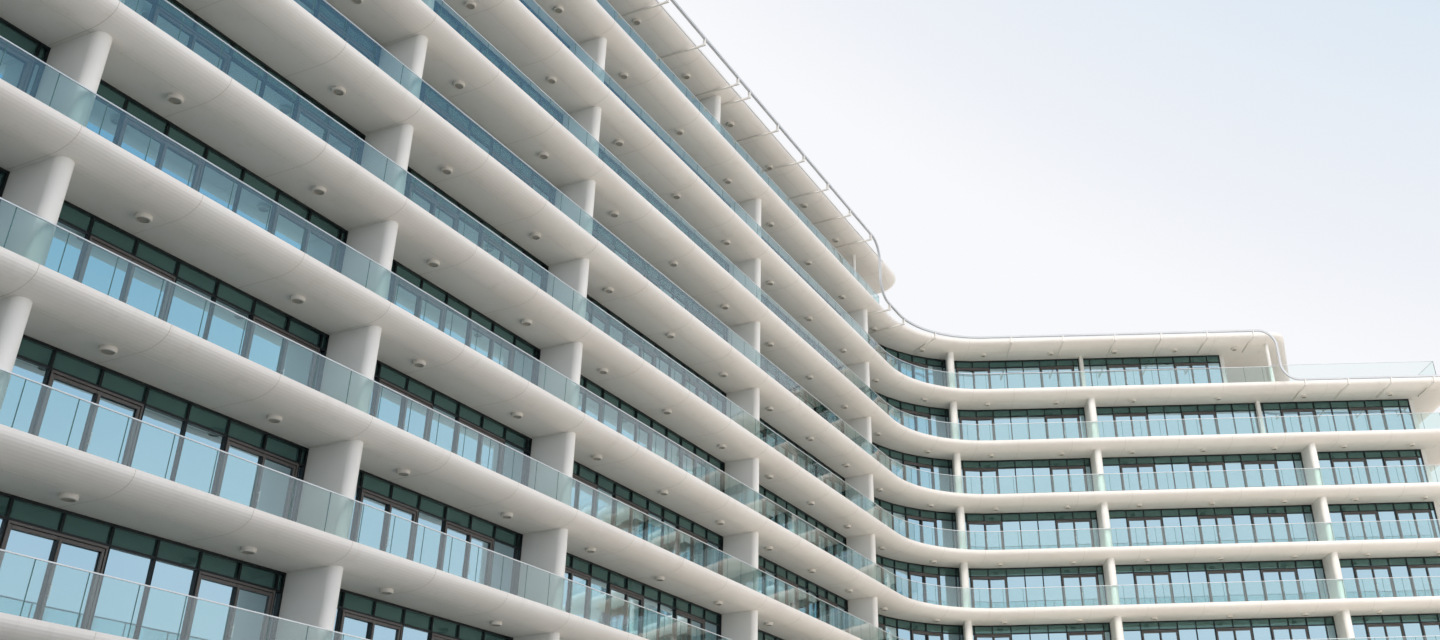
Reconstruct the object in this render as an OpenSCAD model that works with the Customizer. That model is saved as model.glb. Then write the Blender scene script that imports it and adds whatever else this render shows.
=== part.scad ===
// Apartment block of two wings joined by a concave curve, as a 1:2 scale model.
// The courtyard front has a continuous balcony slab on every storey. All values are
// the model's own millimetres: one millimetre here is two on the real building.

/* [Plan] */
// Angle that the fascia turns through between the two wings, in degrees
turn = 66.85; // [40:0.05:85]
// Radius of the fascia along the concave curve
curve_r = 3450; // [2600:10:5200]
// Depth of the block from the fascia to the back of the rear wall
block_depth = 7000; // [5500:50:9000]
// Length of the left wing, from the corner of the fascia lines to its end wall
left_len = 31640; // [27500:10:33000]
// Length of the right wing up to the second roof step
right_len = 17770; // [15000:10:19000]
// Length of the right wing's top storey, up to the first roof step
penthouse_len = 12280; // [10500:10:14500]
// Slant of the penthouse roof's end: how far it steps out to the right
end_step = 44; // [10:1:60]
// The way to the rear that the step is taken over
end_way = 117; // [80:1:200]
// Distance from the corner to the end of the left wing's roof
roof_end = 720; // [500:10:1500]

/* [Storeys] */
// Height of one storey from floor to floor
storey_h = 1750; // [1500:10:2000]
// Storeys of the left wing
storeys = 11; // [6:1:12]
// Thickness of a balcony slab behind its rounded edge
slab_t = 270; // [200:5:340]
// Depth of the rounded edge, from the fascia inwards
edge_depth = 450; // [300:5:520]
// Height of the upright strip at the top of the edge
edge_nose = 50; // [20:1:90]
// Radius of the rounded plan corners at the stepped slab ends
corner_r = 900; // [650:10:1000]
// Radius of the rounded plan corner of the penthouse roof
penthouse_corner_r = 680; // [500:10:900]
// Thickness of the ground slab
ground_t = 60; // [40:5:120]

/* [Walls] */
// Distance from the fascia to the outer face of the window wall
glass_set = 1150; // [900:10:1500]
// Thickness of the window wall's glass
glass_t = 16; // [10:1:30]
// Flat panes of the window wall round the curve
curve_panes = 10; // [6:1:14]
// Thickness of a fin wall between two bays
fin_t = 225; // [160:5:280]
// Distance from the fascia to the round front of a fin wall
fin_set = 300; // [150:5:400]
// Thickness of the rear and end walls
wall_t = 150; // [100:5:220]
// Space between a fin's top and the slab edge over it
fin_gap = 0.3; // [0.2:0.1:1]
// Joint between the lengths of the walls, the glass and the rails
joint_gap = 0.5; // [0.3:0.1:2]

/* [Bays] */
// Distance from the corner to the left wing's first fin wall
left_first = 3260; // [2800:10:3700]
// Width of a wide bay of the left wing
bay_wide = 7030; // [6600:10:7200]
// Width of a narrow bay of the left wing
bay_narrow = 4800; // [4300:10:5000]
// Distance from the corner to the right wing's second fin wall
right_second = 5640; // [5300:10:6000]
// Distance from the right end of the curve to the fin wall that stands under it
curve_fin_in = 1090; // [800:10:1300]
// Width of the right wing's main bay
bay_right = 6800; // [6300:10:7000]
// Distance from the corner to the pier on the right wing's second highest storey
upper_pier_at = 11190; // [10600:10:11500]
// Reach of a pier in front of the window wall
pier_out = 200; // [120:5:400]
// Distance from the end of the left wing's roof to the post under it
top_post_in = 2980; // [2500:10:3300]
// Spacing of the fin walls on the left wing's top storey
top_spacing = 8800; // [8200:10:9000]
// Distance from the end of the left wing's roof to its top storey's windows
top_windows_in = 4130; // [3600:10:4800]
// Distance from the end of the penthouse roof to the penthouse windows
penthouse_windows_in = 2040; // [1800:10:2900]
// Distance from the right wing's end to its windows
right_windows_in = 1560; // [1400:10:2700]
// Space between a post on the right wing and the end of the slab over it
post_to_end = 690; // [680:10:1100]
// Distance from the fascia to a post on the right wing
post_set = 300; // [160:5:340]

/* [Rear windows] */
// Height of a rear window
rear_win_h = 850; // [600:10:1000]
// Height of a rear window's sill over the floor
rear_sill = 400; // [250:10:500]
// Width of a rear window
rear_win_w = 2000; // [1200:10:2300]
// Distance between the middles of two rear windows
rear_pitch = 3400; // [2800:10:4200]

/* [Balustrades] */
// Distance from the fascia to the balustrade glass
bal_set = 276; // [200:2:280]
// Thickness of the balustrade glass
bal_t = 12; // [8:1:20]
// Flat panes of a balustrade round the curve
bal_panes = 12; // [8:1:16]
// Height of the balustrade glass over the slab
bal_h = 640; // [560:2:680]
// Height of the glass round the open roof terrace
terrace_h = 686; // [600:2:720]
// Distance from the right wing's end to the glass at the end of the open roof terrace
terrace_in = 880; // [820:10:2200]
// Width of the cap rail on the glass
cap_w = 24; // [16:1:36]
// Height of the cap rail
cap_h = 14; // [8:1:24]

/* [Roof rail] */
// Distance from the fascia out to the middle of the rail
rail_out = 350; // [250:5:450]
// Depth of the rail below the slab's top, at its middle
rail_drop = 90; // [60:5:140]
// Side of the rail's square section
rail_w = 60; // [40:1:90]
// Radius of the bends where the rail goes down a storey
rail_bend = 560; // [400:10:700]
// Distance from the end of the left wing's roof to the middle of the first drop
left_drop_in = 2990; // [2600:10:3500]
// Distance from the end of the penthouse roof to the middle of the second drop
right_drop_in = 620; // [500:10:1200]
// Distance from the right wing's end to the middle of the last drop
last_drop_in = 640; // [570:10:870]
// Distance between two brackets
bracket_pitch = 1680; // [1400:10:1700]
// Space between a bend and the bracket beside it
bracket_space = 120; // [60:10:300]
// Space between a fin or end wall's middle and the bracket beyond it
bracket_off = 300; // [200:10:500]
// Width of a bracket's arm
bracket_w = 40; // [25:1:60]
// Reach of a bracket's arm under the slab, from the fascia
bracket_in = 900; // [600:10:1100]

/* [Hidden] */
tangent = curve_r * tan(turn / 2);
wing_y = block_depth / 2;
inner_depth = block_depth - wall_t;
clear_h = storey_h - slab_t;
low_top = storeys - 1;
low_end = storeys - 2;
round_fn = 48;
edge_steps = 10;
rail_half = rail_w / 2;
bracket_z = -slab_t - bracket_w;
penthouse_post = penthouse_len - post_to_end;
top_first = roof_end + top_post_in;
top_windows = roof_end + top_windows_in;
penthouse_windows = penthouse_len - penthouse_windows_in;
right_windows = right_len - right_windows_in;
terrace_end = right_len - terrace_in;
left_drop = roof_end + left_drop_in;
right_drop = penthouse_len - right_drop_in;
last_drop = right_len - last_drop_in;
drop_len = storey_h - 2 * (rail_bend + joint_gap);
curve_sag = (curve_r + glass_set) * (1 - cos(turn / curve_panes / 2));
post_d = fin_t / 2;
curve_fin_back = sqrt(pow(curve_r + glass_set, 2) - pow(curve_fin_in + post_d, 2)) - curve_r - curve_sag;
bracket_top = -rail_drop - rail_half;
curve_brackets = [32, 60];
edge_lap = 2;
end_slant = atan2(end_step, end_way);

// Underside of the rounded edge at a distance n from the fascia
function edge_z(n) =
  let (q = min(max(n, 0), edge_depth) / edge_depth)
  -edge_nose - (slab_t - edge_nose) * sqrt(1 - pow(1 - q, 2));

// Outline of a slab's section: fascia at 0, top at 0, out to the depth d
function slab_section(d) = concat(
  [[d, 0], [0, 0]],
  [for (k = [0:edge_steps])
    let (a = 90 * k / edge_steps)
    [edge_depth * (1 - cos(a)), -edge_nose - (slab_t - edge_nose) * sin(a)]],
  [[d, -slab_t]]);

// Outline of an upright sheet: distance n from the fascia, thickness t, bottom z and height h
function sheet_section(n, t, z, h) = [[n, z], [n + t, z], [n + t, z + h], [n, z + h]];

// Place a child in the right wing: x along the wing from the corner, y in from the fascia
module right_wing() {
  translate([0, -wing_y, 0]) children();
}

// Place a child in the left wing: x is minus the distance from the corner
module left_wing() {
  translate([0, -wing_y, 0]) rotate([0, 0, turn]) children();
}

// Sweep a section along a straight stretch of a wing from x0 to x1
module straight(section, x0, x1) {
  translate([x0, 0, 0]) rotate([90, 0, 90]) linear_extrude(x1 - x0) polygon(section);
}

// Sweep a section round the concave curve
module curved(section) {
  translate([tangent, -curve_r - wing_y, 0]) rotate_extrude(angle = turn, start = 90)
    polygon([for (p = section) [curve_r + p[0], p[1]]]);
}

// Row of flat upright panes round the concave curve: distance n from the fascia and thickness t
module curved_panes(n, t, z, h, count) {
  r = curve_r + n;
  step = turn / count;
  half_gap = asin(joint_gap / 2 / r);
  translate([tangent, -curve_r - wing_y, z]) for (k = [0:count - 1])
    rotate([0, 0, k * step]) linear_extrude(h) polygon([
      for (p = [[r, half_gap], [r + t, half_gap], [r + t, step - half_gap], [r, step - half_gap]])
        [-p[0] * sin(p[1]), p[0] * cos(p[1])]]);
}

// Round plan corner of a section whose slab ends at x1, and its run back to the rear
module rounded_end(section, x1) {
  translate([x1 - corner_r, corner_r, 0])
    rotate_extrude(angle = 90, start = -90)
      polygon([for (p = section) [corner_r - p[0], p[1]]]);
  translate([x1, corner_r, 0]) rotate([90, 0, 180])
    linear_extrude(inner_depth - corner_r) polygon(section);
}

// Penthouse roof beyond its straight front: a round corner and a slanted edge back to the rear
module slanted_end(x1) {
  lap = edge_depth + block_depth * sin(end_slant);
  translate([x1 - penthouse_corner_r, penthouse_corner_r, 0]) {
    rotate_extrude(angle = 90, start = -90)
      polygon([for (p = slab_section(penthouse_corner_r)) [penthouse_corner_r - p[0], p[1]]]);
    intersection() {
      rotate([0, 0, -end_slant]) translate([penthouse_corner_r, 0, 0]) rotate([90, 0, 180])
        linear_extrude(2 * block_depth) polygon(slab_section(penthouse_corner_r + lap));
      translate([-block_depth, -penthouse_corner_r, -2 * slab_t])
        cube([2 * block_depth, inner_depth, 3 * slab_t]);
    }
  }
}

// Balcony slab at a floor level, out to its rounded right end
module floor_slab(i) {
  is_roof = i == low_top;
  end_x = is_roof ? penthouse_len - penthouse_corner_r : right_len - corner_r;
  color("#ece6dc") translate([0, 0, i * storey_h]) union() {
    left_wing() straight(slab_section(inner_depth), -left_len, -tangent);
    curved(slab_section(inner_depth));
    right_wing() straight(slab_section(inner_depth), tangent, end_x);
    if (is_roof) right_wing() slanted_end(penthouse_len);
    else right_wing() rounded_end(slab_section(corner_r), right_len);
  }
}

// Roof of the left wing, with its rounded end
module roof_slab() {
  color("#ece6dc") translate([0, 0, storeys * storey_h]) left_wing() union() {
    straight(slab_section(inner_depth), -left_len, -roof_end - corner_r);
    rounded_end(slab_section(corner_r), -roof_end);
  }
}

// Ground slab inside the walls
module ground_slab() {
  section = sheet_section(fin_set, inner_depth - fin_set, 0, ground_t);
  color("#cfc9bf") {
    left_wing() straight(section, -left_len, -tangent - joint_gap);
    curved(section);
    right_wing() straight(section, tangent + joint_gap, right_windows + wall_t);
  }
}

// Height of the floor under a storey's walls
function floor_z(i) = i == 1 ? ground_t : (i - 1) * storey_h;

// Height of a storey's walls, from its floor to the soffit
function wall_h(i) = i * storey_h - slab_t - floor_z(i);

// Window wall's glass for one storey: a sheet along each wing and flat panes round the curve
module window_glass(i) {
  section = sheet_section(glass_set, glass_t, floor_z(i), wall_h(i));
  right_x = i == low_top ? penthouse_windows : right_windows;
  color("#9cc7d8") {
    left_wing() straight(section, -left_len + wall_t, i == storeys ? -top_windows : -tangent - joint_gap);
    if (i < storeys) {
      curved_panes(glass_set, glass_t, floor_z(i), wall_h(i), curve_panes);
      right_wing() straight(section, tangent + joint_gap, right_x);
    }
  }
}

// Side outline of a piece under a slab, from its front back to y, which follows the slab edge over it
function under_edge(h, front, back) = concat(
  [[back, 0], [back, h], [edge_depth, h]],
  [for (k = [0:edge_steps])
    let (n = edge_depth - (edge_depth - front) * k / edge_steps)
    [n, h + slab_t + edge_z(n + edge_lap) - fin_gap]],
  [[front, 0]]);

// Plan of a wall with a round front, its middle at x = 0
module fin_plan(back) {
  translate([0, fin_set + fin_t / 2]) circle(d = fin_t, $fn = round_fn);
  translate([-fin_t / 2, fin_set + fin_t / 2])
    square([fin_t, back - fin_set - fin_t / 2]);
}

// One storey of a fin wall with its round front, its middle at x = 0
module fin_piece(i) {
  h = wall_h(i);
  translate([0, 0, floor_z(i)]) intersection() {
    linear_extrude(h + slab_t) fin_plan(glass_set);
    translate([-fin_t, 0, 0]) rotate([90, 0, 90])
      linear_extrude(2 * fin_t) polygon(under_edge(h, fin_set, glass_set));
  }
}

// One storey of a narrow pier in front of the window wall, its middle at x = 0
module pier_piece(i) {
  translate([-post_d / 2, glass_set - pier_out, floor_z(i)]) cube([post_d, pier_out, wall_h(i)]);
}

// A fin wall of the left wing at a distance from the corner, over several storeys
module left_fin(at, last) {
  color("#f4f1ea") left_wing() for (i = [1:last])
    translate([-at, 0, 0]) fin_piece(i);
}

module fin_wall_a() { left_fin(left_first + 2 * bay_wide + 2 * bay_narrow, storeys - 1); }
module fin_wall_b() { left_fin(left_first + 2 * bay_wide + bay_narrow, storeys - 1); }
module fin_wall_c() { left_fin(left_first + 2 * bay_wide, storeys - 1); }
module fin_wall_d() { left_fin(left_first + bay_wide, storeys - 1); }
module fin_wall_e() { left_fin(left_first, storeys - 1); }

// The fin wall under the curve is square to the right wing, all below the flat soffit
module fin_wall_f() {
  color("#f4f1ea") right_wing() for (i = [1:storeys - 1])
    translate([tangent - curve_fin_in, 0, floor_z(i)]) linear_extrude(wall_h(i)) fin_plan(curve_fin_back);
}

// The right wing's second fin wall, with a pier in its place on the top storey
module fin_wall_g() {
  color("#f4f1ea") right_wing() {
    for (i = [1:low_end]) translate([right_second, 0, 0]) fin_piece(i);
    translate([right_second - post_d / 2, 0, 0]) pier_piece(low_top);
  }
}

// The right wing's last fin wall, with a pier nearer the corner on its top storey
module fin_wall_h() {
  color("#f4f1ea") right_wing() {
    for (i = [1:low_end - 1]) translate([right_second + bay_right, 0, 0]) fin_piece(i);
    translate([upper_pier_at, 0, 0]) pier_piece(low_end);
  }
}

// Fin walls of the left wing's top storey, which stand at their own spacing
module top_fin_walls() {
  count = floor((left_len - top_first - fin_t) / top_spacing);
  color("#f4f1ea") left_wing() for (k = [1:count])
    translate([-top_first - k * top_spacing, 0, 0]) fin_piece(storeys);
}

// Round post of one storey under the rounded edge near a roof's right end
module edge_post(x, i) {
  translate([x, 0, floor_z(i)]) intersection() {
    translate([0, post_set + post_d / 2, 0]) cylinder(d = post_d, h = storey_h, $fn = round_fn);
    translate([-post_d, 0, 0]) rotate([90, 0, 90])
      linear_extrude(2 * post_d) polygon(under_edge(clear_h, post_set, edge_depth + post_d));
  }
}

// Round posts under the three stepped roof ends
module corner_posts() {
  color("#f4f1ea") {
    left_wing() translate([-top_first, edge_depth + post_d / 2, floor_z(storeys)])
      cylinder(d = post_d, h = clear_h, $fn = round_fn);
    right_wing() {
      edge_post(penthouse_post, low_top);
      edge_post(right_len - post_to_end, low_end);
    }
  }
}

// Plain wall square to a wing, one storey high, from a depth y0 to the rear wall
module cross_wall(i, y0) {
  translate([0, y0, floor_z(i)]) cube([wall_t, inner_depth - y0, wall_h(i)]);
}

module left_end_wall() {
  color("#f4f1ea") left_wing() for (i = [1:storeys])
    translate([-left_len, 0, 0]) cross_wall(i, edge_depth);
}

module right_end_wall() {
  color("#f4f1ea") right_wing() for (i = [1:low_end])
    translate([right_windows, 0, 0]) cross_wall(i, glass_set);
}

module top_end_wall() {
  color("#f4f1ea") left_wing() translate([-top_windows, 0, 0]) cross_wall(storeys, glass_set);
}

module penthouse_end_wall() {
  color("#f4f1ea") right_wing() translate([penthouse_windows, 0, 0]) cross_wall(low_top, glass_set);
}

// Windows of a straight rear wall on the storeys from first to last, in rows centred between x0 and x1
module rear_holes(x0, x1, first, last) {
  count = floor((x1 - x0 - rear_win_w) / rear_pitch);
  for (i = [first:last], k = [0:count])
    translate([(x0 + x1) / 2 + (k - count / 2) * rear_pitch - rear_win_w / 2,
               (i - 1) * storey_h + rear_sill])
      square([rear_win_w, rear_win_h]);
}

// Upright panel square to the depth, from an outline in x and z, with its front at y
module rear_panel(y, t) {
  translate([0, y + t, 0]) rotate([90, 0, 0]) linear_extrude(t) children();
}

// Straight length of the rear wall from x0 to x1, with its windows cut through
module rear_length(x0, x1, first, last) {
  rear_panel(inner_depth, wall_t) difference() {
    translate([x0, (first - 1) * storey_h]) square([x1 - x0, (last - first + 1) * storey_h]);
    rear_holes(x0, x1, first, last);
  }
}

// Rear wall of both wings and the curve on the storeys from first to last, as far as right_x
module rear_storeys(first, last, right_x) {
  color("#efeae1") {
    left_wing() rear_length(-left_len, -tangent - joint_gap, first, last);
    curved(sheet_section(inner_depth, wall_t, (first - 1) * storey_h, (last - first + 1) * storey_h));
    right_wing() rear_length(tangent + joint_gap, right_x, first, last);
  }
}

module rear_wall() { rear_storeys(1, low_end, right_windows + wall_t); }
module rear_wall_upper() { rear_storeys(low_top, low_top, penthouse_windows + wall_t); }

// Rear wall of the left wing's top storey
module rear_wall_top() {
  color("#efeae1") left_wing() rear_length(-left_len, -top_windows + wall_t, storeys, storeys);
}

// Sheets of glass that close the rear windows inside their openings
module rear_glass() {
  glass_y = inner_depth + (wall_t - glass_t) / 2;
  color("#9cc7d8") {
    left_wing() rear_panel(glass_y, glass_t) {
      rear_holes(-left_len, -tangent - joint_gap, 1, low_top);
      rear_holes(-left_len, -top_windows + wall_t, storeys, storeys);
    }
    right_wing() rear_panel(glass_y, glass_t) {
      rear_holes(tangent + joint_gap, right_windows + wall_t, 1, low_end);
      rear_holes(tangent + joint_gap, penthouse_windows + wall_t, low_top, low_top);
    }
  }
}

// Upright sheet square to a wing, from a depth n back to the rear, with its right face at x
module return_sheet(x, n, t, z, h) {
  translate([x - t, n, z]) cube([t, inner_depth - n, h]);
}

// Run of glass or rail along the straight fronts of one level and back at its open end
module edge_run(i, n, t, z, h) {
  section = sheet_section(n, t, z, h);
  left_wing() straight(section, -left_len, -tangent - joint_gap);
  if (i == low_top)
    left_wing() return_sheet(-tangent - joint_gap, n, t, z, h);
  if (i == low_end)
    right_wing() straight(section, tangent + joint_gap, penthouse_post - joint_gap);
  if (i < low_end)
    right_wing() {
      straight(section, tangent + joint_gap, right_len - corner_r);
      rounded_end(section, right_len);
    }
}

// Run of glass or rail round the open roof terrace
module terrace_run(n, t, z, h) {
  translate([0, 0, low_end * storey_h]) right_wing() {
    straight(sheet_section(n, t, z, h), penthouse_post, terrace_end);
    return_sheet(terrace_end, n, t, z, h);
  }
}

// Frameless glass balustrade on one level
module balustrade(i) {
  color("#a9dbe6") translate([0, 0, i * storey_h]) union() {
    edge_run(i, bal_set, bal_t, 0, bal_h);
    if (i < low_top)
      curved_panes(bal_set, bal_t, 0, bal_h, bal_panes);
  }
}

// Taller frameless glass round the open roof terrace
module terrace_balustrade() {
  color("#a9dbe6") union() terrace_run(bal_set, bal_t, 0, terrace_h);
}

// Stainless cap rails on the top edges of the glass
module cap_rails() {
  cap_set = bal_set + (bal_t - cap_w) / 2;
  color("#b9bec2") {
    for (i = [1:storeys - 1]) translate([0, 0, i * storey_h]) {
      edge_run(i, cap_set, cap_w, bal_h, cap_h);
      if (i < low_top)
        curved(sheet_section(cap_set, cap_w, bal_h, cap_h));
    }
    terrace_run(cap_set, cap_w, terrace_h, cap_h);
  }
}

// Square section of the roof rail, at its distance outside the fascia
function rail_section(z) = sheet_section(-rail_out - rail_half, rail_w, z - rail_half, rail_w);

// One quarter bend of the rail in the plane of the fascia
module rail_quarter(start) {
  rotate([90, 0, 0]) rotate_extrude(angle = 90, start = start)
    translate([rail_bend - rail_half, -rail_half]) square(rail_w);
}

// The rail's bend and straight drop: its upper run ends at x = 0 and z = 0
module rail_turn_down() {
  translate([0, -rail_out, -rail_bend]) rail_quarter(0);
  translate([rail_bend - rail_half, -rail_out - rail_half, rail_bend + joint_gap - storey_h])
    cube([rail_w, rail_w, drop_len]);
}

// The rail's way down one storey and out again to the right
module rail_step() {
  rail_turn_down();
  translate([2 * rail_bend, -rail_out, rail_bend - storey_h]) rail_quarter(180);
}

// Straight length of the rail between two bends, with a joint at each end
module rail_length(i, x0, x1) {
  straight(rail_section(rail_z(i)), x0 + joint_gap, x1 - joint_gap);
}

// Height of the rail's middle beside a roof that closes a storey
function rail_z(i) = i * storey_h - rail_drop;

// Rail outside the roof edge, which steps down with the roofs
module roof_rail() {
  color("#8f9499") {
    left_wing() {
      rail_length(storeys, -left_len, -left_drop - rail_bend);
      translate([-left_drop - rail_bend, 0, rail_z(storeys)]) rail_step();
      rail_length(low_top, rail_bend - left_drop, -tangent);
    }
    curved(rail_section(rail_z(low_top)));
    right_wing() {
      rail_length(low_top, tangent, right_drop - rail_bend);
      translate([right_drop - rail_bend, 0, rail_z(low_top)]) rail_step();
      rail_length(low_end, right_drop + rail_bend, last_drop - rail_bend);
      translate([last_drop - rail_bend, 0, rail_z(low_end)]) rail_turn_down();
    }
  }
}

// One bracket at a slab's level: an arm under the slab and a short upright to the rail at z = top
module bracket(top) {
  translate([-bracket_w / 2, -rail_out - rail_half, bracket_z])
    cube([bracket_w, rail_out + rail_half + bracket_in, bracket_w]);
  translate([-bracket_w / 2, -rail_out - rail_half, bracket_z + bracket_w])
    cube([bracket_w, rail_w, top - bracket_z - bracket_w]);
}

// Even row of brackets from x0 to x1, at most one pitch apart, at the level of slab i
module bracket_row(i, x0, x1) {
  count = ceil((x1 - x0) / bracket_pitch);
  for (k = [0:count])
    translate([x0 + k * (x1 - x0) / count, 0, i * storey_h]) bracket(bracket_top);
}

// Brackets that carry the roof rail from the soffits, clear of the fin walls
module rail_brackets() {
  bays = ceil((left_len - top_first - bracket_off) / top_spacing) - 1;
  color("#e9e3d8") {
    left_wing() {
      for (k = [0:bays])
        bracket_row(storeys, -min(top_first + (k + 1) * top_spacing, left_len) + bracket_off,
                    k == 0 ? -left_drop - rail_bend - bracket_space : -top_first - k * top_spacing - bracket_off);
      translate([rail_bend + bracket_space - left_drop, 0, low_top * storey_h]) bracket(bracket_top);
    }
    translate([tangent, -curve_r - wing_y, low_top * storey_h]) for (a = curve_brackets)
      rotate([0, 0, a]) translate([0, curve_r, 0]) bracket(bracket_top);
    right_wing() {
      bracket_row(low_top, right_second - 3 * bracket_pitch / 2, right_second - bracket_pitch / 2);
      bracket_row(low_top, right_second + bracket_pitch / 2, right_drop - rail_bend - bracket_space);
      bracket_row(low_end, right_drop + rail_bend + bracket_space, last_drop - rail_bend - bracket_space);
      translate([last_drop, 0, (low_end - 1) * storey_h]) bracket(rail_bend - rail_drop);
    }
  }
}

for (i = [1:storeys - 1])
  floor_slab(i);
roof_slab();
ground_slab();
for (i = [1:storeys])
  window_glass(i);
for (i = [1:storeys - 1])
  balustrade(i);
terrace_balustrade();
fin_wall_a();
fin_wall_b();
fin_wall_c();
fin_wall_d();
fin_wall_e();
fin_wall_f();
fin_wall_g();
fin_wall_h();
top_fin_walls();
corner_posts();
left_end_wall();
right_end_wall();
top_end_wall();
penthouse_end_wall();
rear_wall();
rear_wall_upper();
rear_wall_top();
rear_glass();
cap_rails();
roof_rail();
rail_brackets();
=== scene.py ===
import math
import random

import bpy
from mathutils import Matrix, Vector


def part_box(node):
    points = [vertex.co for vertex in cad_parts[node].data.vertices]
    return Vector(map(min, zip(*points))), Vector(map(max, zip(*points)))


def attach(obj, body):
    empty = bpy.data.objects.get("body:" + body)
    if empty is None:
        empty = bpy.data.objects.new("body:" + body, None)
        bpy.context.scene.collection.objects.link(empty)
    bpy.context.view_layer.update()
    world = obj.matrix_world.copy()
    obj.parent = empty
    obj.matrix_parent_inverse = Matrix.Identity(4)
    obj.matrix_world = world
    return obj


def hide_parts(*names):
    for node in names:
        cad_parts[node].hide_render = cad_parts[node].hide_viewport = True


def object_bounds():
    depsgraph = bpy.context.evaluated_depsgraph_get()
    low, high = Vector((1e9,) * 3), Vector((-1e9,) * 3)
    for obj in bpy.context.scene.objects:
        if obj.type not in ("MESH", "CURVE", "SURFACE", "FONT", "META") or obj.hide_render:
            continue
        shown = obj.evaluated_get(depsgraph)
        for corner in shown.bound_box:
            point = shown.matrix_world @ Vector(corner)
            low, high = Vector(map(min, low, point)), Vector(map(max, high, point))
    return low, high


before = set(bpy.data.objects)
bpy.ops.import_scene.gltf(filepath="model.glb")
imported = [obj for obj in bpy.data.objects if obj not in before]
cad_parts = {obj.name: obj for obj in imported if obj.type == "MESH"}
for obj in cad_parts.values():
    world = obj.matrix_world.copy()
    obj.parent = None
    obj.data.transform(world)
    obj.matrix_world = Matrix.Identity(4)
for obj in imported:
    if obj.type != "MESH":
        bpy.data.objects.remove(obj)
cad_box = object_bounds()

# The view from the courtyard's ground, looking up between the two wings. The place, the lens,
# the aim and the small roll match the photograph's; pixels are counted on its 1440 by 640.
PHOTO_W, PHOTO_H = 1440, 640
FOCAL_PX = 1220.97
CENTRE_X_PX, CENTRE_Y_PX = 857.53, 318.31
HEADING, LOOK_UP, ROLL = -0.749, 26.198, -1.764
SENSOR = 36.0
scene = bpy.context.scene
scene.view_settings.view_transform = "Standard"
eye = Vector((-2.289, -39.559, 0.641))
aim = (Matrix.Rotation(math.radians(HEADING), 4, "Z") @ Matrix.Rotation(math.radians(90 + LOOK_UP), 4, "X")
       @ Matrix.Rotation(math.radians(ROLL), 4, "Z"))
lens = bpy.data.cameras.new("courtyard_view")
lens.sensor_width = SENSOR
lens.lens = SENSOR * FOCAL_PX / PHOTO_W
lens.shift_x = (PHOTO_W / 2 - CENTRE_X_PX) / PHOTO_W
lens.shift_y = (CENTRE_Y_PX - PHOTO_H / 2) / PHOTO_W
lens.clip_end = 2000.0
camera = bpy.data.objects.new("courtyard_view", lens)
camera.matrix_world = Matrix.Translation(eye) @ aim
scene.collection.objects.link(camera)
scene.camera = camera


# The hazy daylight over the courtyard: an even pale light and one soft lamp from the front. The
# sky that is seen, and that glass and metal show, goes from near-white to blue high on the right.
def linear(code):
    """Linear colour of an sRGB hex value."""
    parts = [int(code[i:i + 2], 16) / 255 for i in (1, 3, 5)]
    return tuple(c / 12.92 if c <= 0.04045 else ((c + 0.055) / 1.055) ** 2.4 for c in parts) + (1.0,)


def add(tree, kind, values=None, links=None, **settings):
    """Adds a node with its settings, its socket values and its links."""
    n = tree.nodes.new(kind)
    for key, value in settings.items():
        setattr(n, key, value)
    for key, value in (values or {}).items():
        n.inputs[key].default_value = value
    for key, source in (links or {}).items():
        tree.links.new(source, n.inputs[key])
    return n


def ramp(tree, source, stops):
    """A colour ramp behind a value, from (position, sRGB hex) stops."""
    n = add(tree, "ShaderNodeValToRGB", None, {"Fac": source})
    bar = n.color_ramp.elements
    while len(bar) < len(stops):
        bar.new(0.5)
    for element, (place, code) in zip(bar, stops):
        element.position = place
        element.color = linear(code)
    return n.outputs["Color"]


BLUE_SIDE = (0.7, 0.0, 1.3)
PALE_FROM, BLUE_FROM = 0.7, 1.45
world = bpy.data.worlds.new("hazy_sky")
scene.world = world
world.use_nodes = True
sky = world.node_tree
sky.nodes.clear()
path = add(sky, "ShaderNodeLightPath")
mirrored = add(sky, "ShaderNodeMath", None,
               {0: path.outputs["Is Camera Ray"], 1: path.outputs["Is Glossy Ray"]}, operation="MAXIMUM")
seen = add(sky, "ShaderNodeMath", None,
           {0: mirrored.outputs[0], 1: path.outputs["Is Transmission Ray"]}, operation="MAXIMUM")
toward = add(sky, "ShaderNodeTexCoord")
side = add(sky, "ShaderNodeVectorMath", {1: BLUE_SIDE}, {0: toward.outputs["Object"]},
           operation="DOT_PRODUCT")
share = add(sky, "ShaderNodeMapRange", {"From Min": PALE_FROM, "From Max": BLUE_FROM},
            {"Value": side.outputs["Value"]})
haze = ramp(sky, share.outputs[0],
            [(0.07, "#f8f9fc"), (0.2, "#eff2f8"), (0.33, "#e8eef6"), (0.47, "#dde9f4"),
             (0.62, "#bedaed"), (0.78, "#8fbee1"), (1.0, "#76acda")])
lighting = add(sky, "ShaderNodeBackground", {"Color": linear("#f0f5ff"), "Strength": 1.12})
backdrop = add(sky, "ShaderNodeBackground", {"Strength": 1.0}, {"Color": haze})
either = add(sky, "ShaderNodeMixShader", None,
             {0: seen.outputs[0], 1: lighting.outputs[0], 2: backdrop.outputs[0]})
add(sky, "ShaderNodeOutputWorld", None, {"Surface": either.outputs[0]})
sun_data = bpy.data.lights.new("soft_sun", "SUN")
sun_data.energy = 1.9
sun_data.angle = math.radians(25)
sun_data.color = (1.0, 0.975, 0.94)
sun = bpy.data.objects.new("soft_sun", sun_data)
sun.rotation_euler = (math.radians(47), 0, math.radians(-12))
scene.collection.objects.link(sun)


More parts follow.
